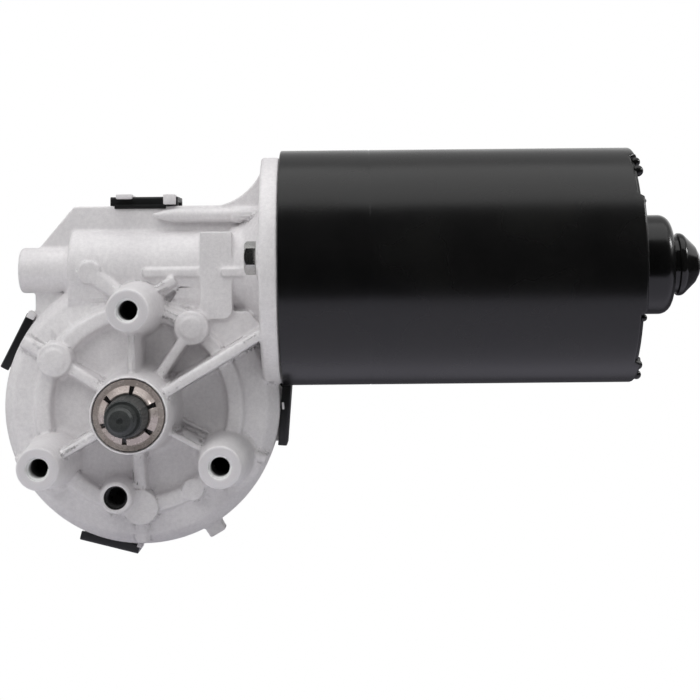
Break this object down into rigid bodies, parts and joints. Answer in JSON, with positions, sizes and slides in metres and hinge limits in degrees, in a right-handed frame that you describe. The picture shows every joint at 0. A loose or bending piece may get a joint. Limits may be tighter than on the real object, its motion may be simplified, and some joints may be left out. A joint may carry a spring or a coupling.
{
  "type": "wiper motor",
  "caption": "Worm-geared wiper motor with a round steel can, a ribbed die-cast gearbox, tapped mounting bosses and a serrated output shaft.",
  "frame": {"origin": "centre of the three mounting bosses, in the plane of their faces, on the output shaft's axis", "axes": "-Y along the output shaft, out of the gearbox; +X along the motor, away from the gearbox; +Z from the output shaft towards the motor's axis"},
  "size_m": [0.2498, 0.1064, 0.1437],
  "materials": {
    "cast_aluminium": "shot-blasted die-cast aluminium, matt light grey",
    "sintered_bronze": "oil-filled sintered bronze",
    "black_rubber": "soft black rubber",
    "zinc_steel": "zinc-plated steel",
    "white_plastic": "natural acetal",
    "bearing_steel": "ground bearing steel",
    "satin_black_paint": "satin black enamel on deep-drawn steel",
    "gloss_black_paint": "gloss black enamel",
    "gloss_black_plastic": "gloss black moulded plastic",
    "ferrite": "dark grey ferrite",
    "spring_steel": "plain spring steel",
    "black_spring_steel": "black coated spring steel",
    "nickel_spring_steel": "nickel-brown tempered spring steel",
    "phosphated_steel": "dark phosphated steel",
    "board": "brown insulating board",
    "black_plastic": "black moulded plastic",
    "brass": "stamped brass",
    "laminations": "stacked steel laminations",
    "copper": "enamelled copper",
    "carbon": "carbon brush"
  },
  "bodies": {
    "root": {"bearing_carrier": "zinc_steel", "bearing_outer_ring": "bearing_steel", "brush_holder_1": "brass", "brush_holder_2": "brass", "brush_holder_3": "brass", "brush_plate": "board", "brush_spring_1": "spring_steel", "brush_spring_2": "spring_steel", "brush_spring_3": "spring_steel", "connector_blades": "brass", "connector_housing": "black_plastic", "contact_carrier": "black_plastic", "cover_clip_bottom": "black_spring_steel", "cover_clip_left": "black_spring_steel", "cover_clip_right": "black_spring_steel", "cover_clip_top": "black_spring_steel", "cover_gasket": "black_rubber", "end_bell": "gloss_black_paint", "end_cap": "gloss_black_plastic", "flange_gasket": "black_rubber", "flange_screws": "zinc_steel", "front_shaft_bush": "sintered_bronze", "gear_housing": "cast_aluminium", "inner_shaft_bush": "sintered_bronze", "magnet_clips": "spring_steel", "magnets": "ferrite", "motor_can": "satin_black_paint", "nose_bush": "sintered_bronze", "park_contacts": "brass", "rear_cover": "black_plastic", "shaft_seal": "black_rubber", "tail_bush": "sintered_bronze", "thrust_pad": "white_plastic", "thrust_screw": "zinc_steel"},
    "armature": {"armature_shaft": "bearing_steel", "bearing_inner_ring": "bearing_steel", "bearing_balls": "bearing_steel", "armature_core": "laminations", "armature_windings": "copper", "commutator": "copper", "commutator_sleeve": "board"},
    "output": {"output_shaft": "phosphated_steel", "star_washer": "nickel_spring_steel", "shim_washer": "spring_steel", "drive_gear": "white_plastic", "gear_hub": "bearing_steel", "park_disc": "brass"},
    "brush_1": {"brush_1": "carbon"},
    "brush_2": {"brush_2": "carbon"},
    "brush_3": {"brush_3": "carbon"}
  },
  "joints": [
    {"name": "armature_spin", "type": "hinge", "parent": "root", "child": "armature", "pos_m": [0, 0.044, 0.04863], "axis": [1, 0, 0], "continuous": true},
    {"name": "output_spin", "type": "hinge", "parent": "root", "child": "output", "pos_m": [0, 0, 0], "axis": [0, -1, 0], "continuous": true},
    {"name": "brush_1_slide", "type": "slide", "parent": "root", "child": "brush_1", "axis": [0, 0, 1], "range_m": [0, 0.004], "stiffness_N_per_m": 400, "springref_m": -0.008, "deforming": ["brush_spring_1"]},
    {"name": "brush_2_slide", "type": "slide", "parent": "root", "child": "brush_2", "axis": [0, 0, -1], "range_m": [0, 0.004], "stiffness_N_per_m": 400, "springref_m": -0.008, "deforming": ["brush_spring_2"]},
    {"name": "brush_3_slide", "type": "slide", "parent": "root", "child": "brush_3", "axis": [0, -0.866, 0.5], "range_m": [0, 0.004], "stiffness_N_per_m": 400, "springref_m": -0.008, "deforming": ["brush_spring_3"]}
  ],
  "couplings": [
    {"joint": "output_spin", "follows": "armature_spin", "ratio": 0.014493}
  ]
}
